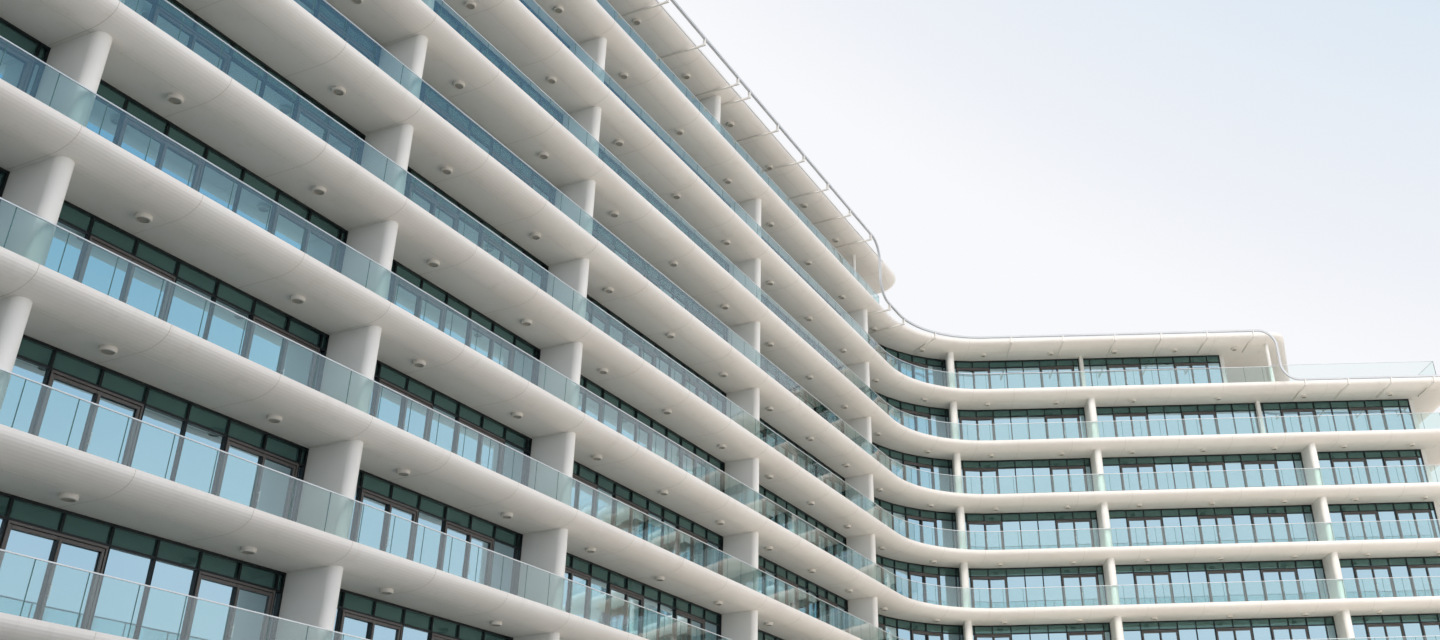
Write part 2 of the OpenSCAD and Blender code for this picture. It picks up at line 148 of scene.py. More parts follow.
# The plain pale floor that the block stands on, warm like sandstone paving, with painted shade along the left
# wing: grey that stands in for shadow on the ground there. It also throws light up on the soffits.
def grained(name, light, dark, patch, grain_mm, roughness, depth=0.0, **sockets):
    """A material with noise in its tone, its gloss and its relief.

    patch is the size of the tone's patches in metres, and depth the relief of the grain in metres.
    """
    mat = bpy.data.materials.new(name)
    mat.use_nodes = True
    tree = mat.node_tree
    shader = tree.nodes["Principled BSDF"]
    for key, value in sockets.items():
        shader.inputs[key.replace("_", " ")].default_value = value
    coord = add(tree, "ShaderNodeTexCoord").outputs["Object"]
    cloud = add(tree, "ShaderNodeTexNoise", {"Scale": 1 / patch, "Detail": 5.0, "Roughness": 0.6},
                {"Vector": coord})
    level = add(tree, "ShaderNodeMapRange", {"From Min": 0.35, "From Max": 0.7},
                {"Value": cloud.outputs["Fac"]})
    tone = add(tree, "ShaderNodeMix", {"A": linear(light), "B": linear(dark)}, {"Factor": level.outputs[0]},
               data_type="RGBA")
    fine = add(tree, "ShaderNodeTexNoise", {"Scale": 1000 / grain_mm, "Detail": 2.0}, {"Vector": coord})
    gloss = add(tree, "ShaderNodeMapRange",
                {"From Min": 0.3, "From Max": 0.7, "To Min": roughness * 0.85, "To Max": roughness * 1.15},
                {"Value": fine.outputs["Fac"]})
    tree.links.new(tone.outputs["Result"], shader.inputs["Base Color"])
    tree.links.new(gloss.outputs[0], shader.inputs["Roughness"])
    if depth:
        bump = add(tree, "ShaderNodeBump", {"Strength": 1.0, "Distance": depth},
                   {"Height": fine.outputs["Fac"]})
        tree.links.new(bump.outputs["Normal"], shader.inputs["Normal"])
    return mat, tree, shader, coord, tone.outputs["Result"]


def deselect():
    bpy.ops.object.select_all(action="DESELECT")


FLOOR_SIZE = 600
FLOOR_DROP = 0.002
PAINTED_SHADE_UP_TO, WARM_FROM = -32.0, -10.0
deselect()
bpy.ops.mesh.primitive_plane_add(size=FLOOR_SIZE, location=(0, 0, -FLOOR_DROP))
floor = bpy.context.object
floor.name = "floor"
bpy.ops.object.transform_apply(location=True, rotation=True, scale=True)
floor_mat, tree, shader, coord, tone = grained("pale_floor", "#f2e8db", "#ebe0d2",
                                               patch=6.0, grain_mm=80.0, roughness=0.9)
# Painted shade: the floor turns grey along the left wing and towards the camera, a colour that stands in for
# shadow on the ground there.
place = add(tree, "ShaderNodeVectorMath", {1: (1.0, 1.0, 0.0)}, {0: coord}, operation="DOT_PRODUCT")
shaded = add(tree, "ShaderNodeMapRange", {"From Min": PAINTED_SHADE_UP_TO, "From Max": WARM_FROM},
             {"Value": place.outputs["Value"]}, interpolation_type="SMOOTHSTEP")
ground = add(tree, "ShaderNodeMix", {"A": linear("#777b7b")}, {"Factor": shaded.outputs[0], "B": tone},
             data_type="RGBA")
tree.links.new(ground.outputs["Result"], shader.inputs["Base Color"])
floor.data.materials.append(floor_mat)


# Balcony slabs and roofs: cast concrete with a smooth rounded edge of moulded panels, painted
# matt off-white. Faint rain marks run down the edge; the balcony floors are pale paving.
def dress(mat, *names):
    """Gives nodes of the model a material."""
    for name in names:
        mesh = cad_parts[name].data
        mesh.materials.clear()
        mesh.materials.append(mat)


PAVER = 0.3
PAVER_GAP = 0.006
slab_paint, tree, shader, coord, tone = grained("painted_concrete", "#f6f1ea", "#f0e9e1",
                                                patch=2.2, grain_mm=40.0, roughness=0.62, depth=0.0004)
drawn = add(tree, "ShaderNodeMapping", {"Scale": (4.0, 4.0, 0.5)}, {"Vector": coord})
runs = add(tree, "ShaderNodeTexNoise", {"Scale": 1.0, "Detail": 4.0, "Roughness": 0.7},
           {"Vector": drawn.outputs[0]})
marked = add(tree, "ShaderNodeMapRange", {"From Min": 0.56, "From Max": 0.8, "To Max": 0.35},
             {"Value": runs.outputs["Fac"]})
stained = add(tree, "ShaderNodeMix", {"B": linear("#d9d0c4")}, {"Factor": marked.outputs[0], "A": tone},
              data_type="RGBA")
facing = add(tree, "ShaderNodeNewGeometry")
parts = add(tree, "ShaderNodeSeparateXYZ", None, {"Vector": facing.outputs["Normal"]})
upward = add(tree, "ShaderNodeMath", {1: 0.9}, {0: parts.outputs["Z"]}, operation="GREATER_THAN")
tiles = add(tree, "ShaderNodeTexBrick",
            {"Color1": linear("#cfcac1"), "Color2": linear("#c5c0b6"), "Mortar": linear("#a9a49b"),
             "Scale": 1.0, "Mortar Size": PAVER_GAP, "Brick Width": PAVER, "Row Height": PAVER},
            {"Vector": coord}, offset=0.0)
paved = add(tree, "ShaderNodeMix", None,
            {"Factor": upward.outputs[0], "A": stained.outputs["Result"], "B": tiles.outputs["Color"]},
            data_type="RGBA")
tree.links.new(paved.outputs["Result"], shader.inputs["Base Color"])
dress(slab_paint, *[f"floor_slab_{i}" for i in range(1, 11)], "roof_slab")

# The ground slab: plain grey concrete.
ground_concrete = grained("ground_concrete", "#b9b4ab", "#a8a399",
                          patch=1.5, grain_mm=25.0, roughness=0.8, depth=0.0005)[0]
dress(ground_concrete, "ground_slab")

# Fin walls, posts and outer walls: rendered block painted off-white, with a fine rolled grain.
wall_paint = grained("painted_render", "#f5f2ec", "#eeeae2",
                     patch=1.6, grain_mm=30.0, roughness=0.7, depth=0.0004)[0]
dress(wall_paint, *[f"fin_wall_{c}" for c in "abcdefgh"], "top_fin_walls", "corner_posts", "left_end_wall",
      "right_end_wall", "top_end_wall", "penthouse_end_wall", "rear_wall", "rear_wall_upper", "rear_wall_top")


# Joints of the edge and soffit panels: thin pale sealant beads over the rounded edge and on
# along the soffit to the windows, one beside each fin wall and the rest evenly between.
LOW, HIGH = 0, 1
X, Y, Z = 0, 1, 2


def edge_of(node, end, axis):
    """Where a node's box ends along an axis."""
    return round(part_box(node)[end][axis], 4)


STOREY = edge_of("floor_slab_1", HIGH, Z)
SLAB = round(STOREY - edge_of("floor_slab_1", LOW, Z), 4)
FRONT = -3.5
GLASS = round(edge_of("right_end_wall", LOW, Y) - FRONT, 4)
END_WALL = round(edge_of("right_end_wall", HIGH, X) - edge_of("right_end_wall", LOW, X), 4)
TURN = math.radians(66.85)
CURVE = 3.45
TANGENT = CURVE * math.tan(TURN / 2)
LEFT_LEN = 31.64
RIGHT_LEN = edge_of("floor_slab_1", HIGH, X)
CORNER = 0.9
PENTHOUSE = 12.28
PENTHOUSE_CORNER = 0.68
HALF_FIN = round((edge_of("fin_wall_g", HIGH, X) - edge_of("fin_wall_g", LOW, X)) / 2, 4)
LEFT_FINS = [3.26, 10.29, 17.32, 22.12, 26.92]
RIGHT_FINS = [round(edge_of("fin_wall_g", LOW, X) + HALF_FIN, 4),
              round(edge_of("fin_wall_h", HIGH, X) - HALF_FIN, 4)]
EDGE_DEPTH = 0.45
EDGE_LIP = 0.05
centre = Vector((TANGENT, FRONT - CURVE, 0.0))


def left_at(s, n, z):
    """Place on the left wing: s from the corner, n in from the fascia; local +X runs to the right."""
    turned = Matrix.Translation((0, FRONT, 0)) @ Matrix.Rotation(TURN, 4, "Z")
    return turned @ Matrix.Translation((-s, n, z))


def right_at(x, n, z):
    """Place on the right wing, n in from the fascia."""
    return Matrix.Translation((x, FRONT + n, z))


def curve_at(angle, n, z):
    """Place on the curve, in radians from its right end."""
    return Matrix.Translation(centre) @ Matrix.Rotation(angle, 4, "Z") @ Matrix.Translation((0, CURVE + n, z))


def join(objs, name):
    """Joins finished objects into one named piece."""
    deselect()
    for o in objs:
        o.select_set(True)
    bpy.context.view_layer.objects.active = objs[0]
    if len(objs) > 1:
        bpy.ops.object.join()
    out = bpy.context.object
    out.name = name
    out.data.name = name
    return out


def copy_to(unit, place):
    """A copy of a modelled unit with its own mesh, at a place."""
    c = unit.copy()
    c.data = unit.data.copy()
    c.data.transform(place)
    scene.collection.objects.link(c)
    return c


def spread(unit, places, name, keep=False):
    """Copies a modelled unit to each place, joins the copies, and drops the unit unless it is kept."""
    out = join([copy_to(unit, p) for p in places], name)
    if not keep:
        bpy.data.objects.remove(unit)
    return out


def place_piece(piece, mat, slot, *replaced):
    """Material and body of a finished piece, and the nodes that it stands for; slot is not used."""
    piece.data.materials.clear()
    piece.data.materials.append(mat)
    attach(piece, "root")
    if replaced:
        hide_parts(*replaced)


def edge_z(n):
    """Height of the rounded underside at a depth from the fascia."""
    q = min(max(n, 0.0), EDGE_DEPTH) / EDGE_DEPTH
    return -EDGE_LIP - (SLAB - EDGE_LIP) * math.sqrt(1 - (1 - q) ** 2)


BEAD_W = 0.005
BEAD_T = 0.004
BEAD_STOP = 0.03
joint_mat = grained("pale_sealant", "#d3cbc0", "#c8bfb2", patch=0.4, grain_mm=15.0, roughness=0.75)[0]
deselect()
bpy.ops.mesh.primitive_plane_add(size=BEAD_W, location=(0, 0, -BEAD_W / 2), rotation=(math.pi / 2, 0, 0))
bead = bpy.context.object
bpy.ops.object.transform_apply(location=True, rotation=True, scale=True)
bpy.ops.object.mode_set(mode="EDIT")
bpy.ops.mesh.select_mode(type="EDGE")
round_depths = [EDGE_DEPTH * (1 - math.cos(math.radians(10 * k))) for k in range(1, 10)]
route = [(0.0, -EDGE_LIP)] + [(n, edge_z(n)) for n in round_depths] + [(GLASS - BEAD_STOP, -SLAB)]
here = (0.0, -BEAD_W)
bpy.ops.mesh.select_all(action="DESELECT")
bpy.ops.object.mode_set(mode="OBJECT")
for e in bead.data.edges:
    e.select = all(bead.data.vertices[v].co.z < -0.8 * BEAD_W for v in e.vertices)
bpy.ops.object.mode_set(mode="EDIT")
for n, z in route:
    bpy.ops.mesh.extrude_region_move(TRANSFORM_OT_translate={"value": (0, n - here[0], z - here[1])})
    here = (n, z)
bpy.ops.object.mode_set(mode="OBJECT")
thick = bead.modifiers.new("bead", "SOLIDIFY")
thick.thickness = BEAD_T
thick.offset = 0.0
bpy.ops.object.modifier_apply(modifier="bead")


def even(a, b, pitch):
    """Even marks from a to b, about one pitch apart, both ends left out."""
    count = max(1, round((b - a) / pitch))
    return [a + (b - a) * k / count for k in range(1, count)]


FROM_FIN = 0.16
LEFT_PANEL, RIGHT_PANEL = 1.76, 1.68
TOP_LAST_JOINT = 2.3
LEFT_STOP = 0.1
left_joints = []
for a, b in zip(LEFT_FINS, LEFT_FINS[1:] + [LEFT_LEN - END_WALL]):
    left_joints += [a + FROM_FIN] + even(a + FROM_FIN, b + FROM_FIN, LEFT_PANEL)
left_joints = [s for s in left_joints if s < LEFT_LEN - LEFT_STOP]
right_joints = [RIGHT_FINS[0] + (k + 0.5) * RIGHT_PANEL for k in range(-2, 7)]
for level in range(1, 12):
    z = level * STOREY
    if level == 11:
        places = [left_at(s, 0, z) for s in left_joints + [TOP_LAST_JOINT]]
    else:
        end = PENTHOUSE - PENTHOUSE_CORNER if level == 10 else RIGHT_LEN - CORNER
        places = [left_at(s, 0, z) for s in left_joints]
        places += [curve_at(TURN * k / 3, 0, z) for k in (0.35, 1.35, 2.35)]
        places += [right_at(x, 0, z) for x in right_joints if x < end]
    beads = spread(bead, places, f"edge_joints_{level}", keep=True)
    place_piece(beads, joint_mat, "white_slab")
bpy.data.objects.remove(bead)


# Long soffit joint: one thin bead of the same sealant along each level, where the moulded edge
# panels meet the flat soffit panels.
def block(lo, hi, bevel=0.0):
    """A squared bar between two corners, with its edges eased."""
    deselect()
    lo, hi = Vector(lo), Vector(hi)
    bpy.ops.mesh.primitive_cube_add(size=1, location=(lo + hi) / 2)
    obj = bpy.context.object
    obj.scale = hi - lo
    bpy.ops.object.transform_apply(location=True, rotation=True, scale=True)
    if bevel:
        ease = obj.modifiers.new("ease", "BEVEL")
        ease.width = bevel
        ease.segments = 1
        bpy.ops.object.modifier_apply(modifier="ease")
    return obj


def bent(n0, n1, z0, z1):
    """A squared bar swept round the concave curve."""
    deselect()
    bpy.ops.mesh.primitive_plane_add(size=1, location=(0, 0, 0), rotation=(0, math.pi / 2, 0))
    obj = bpy.context.object
    bpy.ops.object.transform_apply(location=True, rotation=True, scale=True)
    for v in obj.data.vertices:
        v.co = (TANGENT, FRONT + (n0 if v.co.y < 0 else n1), z0 if v.co.z < 0 else z1)
    bpy.ops.object.mode_set(mode="EDIT")
    bpy.ops.mesh.select_all(action="SELECT")
    bpy.ops.mesh.spin(steps=24, angle=-TURN, center=centre, axis=(0, 0, 1))
    bpy.ops.mesh.select_all(action="SELECT")
    bpy.ops.mesh.normals_make_consistent(inside=False)
    bpy.ops.object.mode_set(mode="OBJECT")
    return obj


ROOF_END = 0.72


def front_trim(n0, n1, z0, z1, left_s, right_x, curve=True):
    """A slim bar along a level's front: the left wing from left_s, the curve, the right wing to right_x."""
    bar = block((-left_s, n0, z0), (-TANGENT if curve else -ROOF_END - CORNER, n1, z1))
    bar.data.transform(left_at(0, 0, 0))
    bars = [bar]
    if curve:
        bars += [bent(n0, n1, z0, z1), block((TANGENT, FRONT + n0, z0), (right_x, FRONT + n1, z1))]
    return bars


SOFFIT_JOINT = (EDGE_DEPTH - 0.002, EDGE_DEPTH + 0.002, -SLAB - 0.002, -SLAB + 0.001)
low = spread(join(front_trim(*SOFFIT_JOINT, LEFT_LEN, RIGHT_LEN - CORNER), "one"),
             [Matrix.Translation((0, 0, i * STOREY)) for i in range(1, 10)], "low")
tenth = spread(join(front_trim(*SOFFIT_JOINT, LEFT_LEN, PENTHOUSE - PENTHOUSE_CORNER), "one"),
               [Matrix.Translation((0, 0, 10 * STOREY))], "tenth")
top = spread(join(front_trim(*SOFFIT_JOINT, LEFT_LEN, 0, False), "one"),
             [Matrix.Translation((0, 0, 11 * STOREY))], "top")
place_piece(join([low, tenth, top], "soffit_joint"), joint_mat, "white_slab")


# Window wall frames: black anodised aluminium mullions with a pressure plate, a head, a sill
# and a transom bar, stood on each floor between the fin walls.
ARC = (CURVE + GLASS) * TURN
CLEAR = STOREY - SLAB
TRANSOM = CLEAR - 0.27
GROUND = edge_of("ground_slab", HIGH, Z)
TOP_FINS = [3.7, 12.5, 21.3, 30.1]
TOP_GLASS_END = 4.85
HALF_PIER = 0.056
PENTHOUSE_PIER, UPPER_PIER = 5.584, 11.19
PENTHOUSE_GLASS_END = edge_of("penthouse_end_wall", LOW, X)
GLASS_END = edge_of("right_end_wall", LOW, X)
FIN_F = -(CURVE + GLASS) * math.asin(1.09 / (CURVE + GLASS))
HALF_FIN_F = 0.116
LEFT_MODULE, RIGHT_MODULE = 0.605, 0.56
STRIP = 0.12
FIN_G_STRIP, LAST_STRIP, PENTHOUSE_STRIP = 0.1375, 0.14, 0.25
LEAST_PANE = 0.1


def front_at(d, n, z):
    """Place along the whole front: d is a length on the window wall's line, 0 at the curve's right end."""
    if d >= 0:
        return right_at(TANGENT + d, n, z)
    if d > -ARC:
        return curve_at(-d / (CURVE + GLASS), n, z)
    return left_at(TANGENT - ARC - d, n, z)


def floor_of(i):
    return GROUND if i == 1 else (i - 1) * STOREY


def bay(start, end, strip, module, doors, from_end=True):
    """Mullion lines and door pairs of a length of window wall: a strip pane, then whole modules."""
    count = int((end - start - strip) / module)
    offsets = [strip + k * module for k in range(count + 1)]
    if end - start - offsets[-1] < LEAST_PANE:
        offsets.pop()
    pairs = [(offsets[k], offsets[k + 2]) for k in doors if k + 2 < len(offsets)]
    if from_end:
        return [start] + sorted(end - o for o in offsets) + [end], [(end - b, end - a) for a, b in pairs]
    return [start] + [start + o for o in offsets] + [end], [(start + a, start + b) for a, b in pairs]


def bays(i):
    """The window wall of a storey, bay by bay, on its own line."""
    def left(s):
        return TANGENT - ARC - s

    def right(x):
        return x - TANGENT

    def left_bay(a, b, doors):
        return bay(left(a - HALF_FIN), left(b + HALF_FIN), STRIP, LEFT_MODULE, doors)

    def right_bay(start, end, strip, doors):
        return bay(start, end, strip, RIGHT_MODULE, doors, from_end=False)

    stops = [LEFT_LEN - END_WALL + HALF_FIN]
    if i == 11:
        stops += TOP_FINS[:0:-1] + [TOP_GLASS_END - HALF_FIN]
        return [left_bay(a, b, (1, 5, 9)) for a, b in zip(stops, stops[1:])]
    stops += LEFT_FINS[::-1]
    doors = ((0, 4), (0, 4), (1, 4), (1, 5, 8), (1, 5, 8))
    out = [left_bay(a, b, order) for a, b, order in zip(stops, stops[1:], doors)]
    out.append(bay(left(LEFT_FINS[0] - HALF_FIN), FIN_F - HALF_FIN_F, STRIP, RIGHT_MODULE, (1, 5)))
    if i == 10:
        out.append(right_bay(FIN_F + HALF_FIN_F, right(PENTHOUSE_PIER - HALF_PIER), STRIP, (0, 5)))
        out.append(right_bay(right(PENTHOUSE_PIER + HALF_PIER), right(PENTHOUSE_GLASS_END),
                             PENTHOUSE_STRIP, (1, 5)))
        return out
    out.append(right_bay(FIN_F + HALF_FIN_F, right(RIGHT_FINS[0] - HALF_FIN), STRIP, (0, 5)))
    start = right(RIGHT_FINS[0] + HALF_FIN)
    if i == 9:
        out.append(right_bay(start, right(UPPER_PIER - HALF_PIER), FIN_G_STRIP, (1, 5)))
        out.append(right_bay(right(UPPER_PIER + HALF_PIER), right(GLASS_END), LAST_STRIP, (1, 5)))
    else:
        out.append(right_bay(start, right(RIGHT_FINS[1] - HALF_FIN), FIN_G_STRIP, (1, 5, 8)))
        out.append(right_bay(right(RIGHT_FINS[1] + HALF_FIN), right(GLASS_END), LAST_STRIP, (1, 4)))
    return out


def chord(a, b, z):
    """Place of a flat unit between two marks: local X from 0 to 1 spans it."""
    p, q = front_at(a, GLASS, z).translation, front_at(b, GLASS, z).translation
    run = q - p
    turn = math.atan2(run.y, run.x)
    return Matrix.Translation(p) @ Matrix.Rotation(turn, 4, "Z") @ Matrix.Diagonal((run.length, 1, 1, 1))


def storey_fit(i):
    """Floor of a storey, and the stretch that fits a unit of the usual clear height to it."""
    z = floor_of(i)
    return z, Matrix.Diagonal((1, 1, (i * STOREY - SLAB - z) / CLEAR, 1))


def faces_picked(obj, test):
    """Edit mode with only the faces that pass a test picked."""
    bpy.ops.object.mode_set(mode="EDIT")
    bpy.ops.mesh.select_mode(type="FACE")
    bpy.ops.mesh.select_all(action="DESELECT")
    bpy.ops.object.mode_set(mode="OBJECT")
    for f in obj.data.polygons:
        f.select = test(f)
    bpy.ops.object.mode_set(mode="EDIT")


HALF_BAR = 0.015
BAR_FRONT, BAR_BACK = -0.03, 0.045
SILL_H, TRANSOM_H, HEAD_H = 0.05, 0.032, 0.035
WALL_GAP = 0.001
frame_mat = grained("black_anodised_aluminium", "#2a3032", "#23292b",
                    patch=0.5, grain_mm=12.0, roughness=0.38, Metallic=0.5)[0]
mullion = block((-HALF_BAR, BAR_FRONT, 0.0), (HALF_BAR, BAR_BACK, CLEAR))
faces_picked(mullion, lambda f: f.normal.y < -0.9)
bpy.ops.mesh.inset(thickness=0.005)
bpy.ops.mesh.extrude_region_move(TRANSFORM_OT_translate={"value": (0, 0.006, 0)})
bpy.ops.object.mode_set(mode="OBJECT")
mullion.name = "mullion"
rails = join([block((0, BAR_FRONT, 0), (1, BAR_BACK, SILL_H)),
              block((0, BAR_FRONT + 0.005, TRANSOM), (1, BAR_BACK - 0.005, TRANSOM + TRANSOM_H)),
              block((0, BAR_FRONT, CLEAR - HEAD_H), (1, BAR_BACK, CLEAR - 0.0005))], "rails")


def storey_frames(i):
    """Mullions and rails of a storey; the outer mullions of a bay stand clear of the walls."""
    z, fit = storey_fit(i)
    inset = HALF_BAR + WALL_GAP
    uprights, bars = [], []
    for lines, _ in bays(i):
        marks = [lines[0] + inset] + lines[1:-1] + [lines[-1] - inset]
        uprights += [front_at(d, GLASS, z) @ fit for d in marks]
        bars += [chord(a, b, z) @ fit for a, b in zip(lines, lines[1:])]
    return join([spread(mullion, uprights, "uprights", keep=True), spread(rails, bars, "bars", keep=True)],
                f"window_frames_{i}")


def all_storeys(make, base, mat, slot, replaced=None):
    """Makes one piece a storey: storeys 3 to 8 repeat the second."""
    out = {i: make(i) for i in (1, 2, 9, 10, 11)}
    for i in range(3, 9):
        out[i] = copy_to(out[2], Matrix.Translation((0, 0, (i - 2) * STOREY)))
        out[i].name = f"{base}_{i}"
        out[i].data.name = f"{base}_{i}"
    for i, piece in out.items():
        place_piece(piece, mat, slot, *([f"{replaced}_{i}"] if replaced else []))


all_storeys(storey_frames, "window_frames", frame_mat, "rail_steel")
bpy.data.objects.remove(mullion)
bpy.data.objects.remove(rails)

# Sliding door pairs: bronze-grey aluminium, an outer frame with two leaves a little behind its
# face, screwed in two modules of the window wall under the transom.
door_mat = grained("bronze_grey_aluminium", "#6f6a67", "#65605d",
                   patch=0.8, grain_mm=10.0, roughness=0.42, Metallic=0.35)[0]
PAIR = 1.2
LEAF_TOP = TRANSOM - 0.036
DOOR_EASE = 0.003
jambs = [((0.014, -0.044, SILL_H), (0.036, -0.002, TRANSOM)),
         ((PAIR - 0.036, -0.044, SILL_H), (PAIR - 0.014, -0.002, TRANSOM))]
head = [((0.036, -0.044, TRANSOM - 0.03), (PAIR - 0.036, -0.002, TRANSOM))]
stiles = [((0.04, -0.03, SILL_H), (0.072, -0.004, LEAF_TOP)),
          ((PAIR - 0.072, -0.03, SILL_H), (PAIR - 0.04, -0.004, LEAF_TOP)),
          ((0.608, -0.034, SILL_H), (0.645, -0.004, LEAF_TOP))]
cross_rails = [((0.072, -0.03, LEAF_TOP - 0.04), (PAIR - 0.072, -0.006, LEAF_TOP)),
               ((0.072, -0.03, SILL_H), (PAIR - 0.072, -0.006, SILL_H + 0.06))]
door = join([block(lo, hi, DOOR_EASE) for lo, hi in jambs + head + stiles + cross_rails], "door")


def at_pairs(i, unit, name):
    """Copies a unit to each door pair of a storey."""
    z, fit = storey_fit(i)
    narrow = Matrix.Diagonal((1 / PAIR, 1, 1, 1))
    places = [chord(a, b, z) @ narrow @ fit for _, pairs in bays(i) for a, b in pairs]
    return spread(unit, places, f"{name}_{i}", keep=True)


all_storeys(lambda i: at_pairs(i, door, "balcony_doors"), "balcony_doors", door_mat, "rail_steel")
bpy.data.objects.remove(door)

# Door handles: short satin steel bars on two feet, screwed to the meeting stile of each pair.
# The balustrades' cap rails are of the same steel.
steel_mat = grained("brushed_stainless", "#f0f2f2", "#e4e6e6",
                    patch=0.3, grain_mm=6.0, roughness=0.3, Metallic=0.35)[0]
handle = join([block((0.62, -0.072, 0.5), (0.632, -0.06, 0.66), DOOR_EASE),
               block((0.622, -0.061, 0.52), (0.63, -0.033, 0.53)),
               block((0.622, -0.061, 0.63), (0.63, -0.033, 0.64))], "handle")
all_storeys(lambda i: at_pairs(i, handle, "door_handles"), "door_handles", steel_mat, "stainless")
bpy.data.objects.remove(handle)
dress(steel_mat, "cap_rails")

# Window panes: blue-green float glass with a reflecting solar coating, one pane a module, with
# the slight waves of toughened glass. No two panes lie quite in one plane.
PANE_FACES = (0.002, 0.014)
pane_mat = grained("coated_solar_glass", "#c0deea", "#b9d8e7", patch=3.0, grain_mm=700.0, roughness=0.02,
                   depth=0.0012, Metallic=0.92, Transmission_Weight=1.0)[0]
pane = block((0.0, PANE_FACES[0], SILL_H - 0.005), (1.0, PANE_FACES[1], TRANSOM + 0.004))
tilt = random.Random(5)


def storey_panes(i, unit, name):
    """A pane between each two lines of a storey, each leaning and turned a little."""
    z, fit = storey_fit(i)
    places = []
    for lines, _ in bays(i):
        for a, b in zip(lines, lines[1:]):
            lean = Matrix.Rotation(math.radians(tilt.uniform(-0.35, 0.35)), 4, "X")
            skew = Matrix.Rotation(math.radians(tilt.uniform(-0.25, 0.25)), 4, "Z")
            places.append(chord(a, b, z) @ skew @ lean @ fit)
    return spread(unit, places, name, keep=True)


all_storeys(lambda i: storey_panes(i, pane, f"window_panes_{i}"), "window_panes", pane_mat, "window_glass",
            "window_glass")
bpy.data.objects.remove(pane)

# Panes over the transom: dark green tinted glass without the coating, in the same bars.
small_mat = grained("dark_green_glass", "#6c9590", "#638c86", patch=2.0, grain_mm=500.0, roughness=0.03,
                    depth=0.0008, Metallic=0.4, IOR=1.6, Transmission_Weight=0.5)[0]
small = block((0.0, PANE_FACES[0], TRANSOM + 0.028), (1.0, PANE_FACES[1], CLEAR - 0.03))
all_storeys(lambda i: storey_panes(i, small, f"transom_panes_{i}"), "transom_panes", small_mat,
            "window_glass", "window_glass")
bpy.data.objects.remove(small)


# Balustrades: frameless laminated glass with a faint sea-green tint, clamped in a slim channel
# and topped by a stainless rail. It lets the lamps through, so that it darkens nothing.
def clear_glass(name, light, dark, ior):
    """Glass that lets lamps through: a shadow ray meets a plain transparent surface."""
    mat, tree, shader, _, _ = grained(name, light, dark, patch=2.5, grain_mm=900.0, roughness=0.015,
                                      depth=0.0008, IOR=ior, Transmission_Weight=1.0)
    way = add(tree, "ShaderNodeLightPath")
    passing = add(tree, "ShaderNodeBsdfTransparent", {"Color": linear("#f4fbfb")})
    through = add(tree, "ShaderNodeMixShader", None,
                  {0: way.outputs["Is Shadow Ray"], 1: shader.outputs[0], 2: passing.outputs[0]})
    tree.links.new(through.outputs[0], tree.nodes["Material Output"].inputs["Surface"])
    return mat


# The balcony panes mirror the sky more strongly than plain glass does, so their index is higher.
BALCONY_IOR, PLAIN_IOR = 1.95, 1.5
dress(clear_glass("laminated_glass", "#e4f5f3", "#dcf1ef", BALCONY_IOR),
      *[f"balustrade_{i}" for i in range(1, 11)])
dress(clear_glass("terrace_glass", "#f8fdfc", "#f4fbfa", PLAIN_IOR), "terrace_balustrade")

# Joints between the balustrade's panes: narrow gaps that show the green edge of the glass.
BAL_T = 0.012
BAL_PANE = 0.6
BAL_FRONT = round(edge_of("terrace_balustrade", LOW, Y) - FRONT, 4)
BAL_BACK = BAL_FRONT + BAL_T
BAL_TOP = round(edge_of("balustrade_1", HIGH, Z) - STOREY, 4)
FROM_LEFT_END, FROM_CURVE = 0.13, 0.1
NINTH_END = 11.5
gap_mat = grained("glass_edge", "#45706e", "#3b6463", patch=0.5, grain_mm=20.0, roughness=0.3)[0]
gap = block((-0.0045, BAL_FRONT - 0.001, 0.0), (0.0045, BAL_BACK + 0.001, BAL_TOP - 0.001))


def bal_lines(level):
    """Places of the joints between balustrade panes on a level."""
    z = level * STOREY
    out = []
    s = LEFT_LEN - FROM_LEFT_END
    while s > TANGENT + FROM_CURVE:
        out.append(left_at(s, 0, z))
        s -= BAL_PANE
    if level < 10:
        out += [curve_at(TURN * k / 6, 0, z) for k in range(7)]
        x = TANGENT + BAL_PANE
        while x < (NINTH_END if level == 9 else RIGHT_LEN - CORNER):
            out.append(right_at(x, 0, z))
            x += BAL_PANE
    return out


for level in range(1, 11):
    joints = spread(gap, bal_lines(level), f"pane_joints_{level}", keep=True)
    place_piece(joints, gap_mat, "balustrade_glass")
bpy.data.objects.remove(gap)

# Glass channels: two low aluminium angles that clamp each balustrade's foot, bolted to the slab.
CHANNEL_W = 0.01
CHANNEL_H = (0.0005, 0.024)
channel_mat = grained("pale_anodised_channel", "#c9c8c4", "#bdbcb8",
                      patch=0.6, grain_mm=10.0, roughness=0.4, Metallic=0.4)[0]
one = join(front_trim(0.264, 0.264 + CHANNEL_W, *CHANNEL_H, LEFT_LEN, RIGHT_LEN - CORNER)
           + front_trim(0.2895, 0.2895 + CHANNEL_W, *CHANNEL_H, LEFT_LEN, RIGHT_LEN - CORNER), "one")
channels = spread(one, [Matrix.Translation((0, 0, i * STOREY)) for i in range(1, 9)], "glass_channels")
place_piece(channels, channel_mat, "stainless")

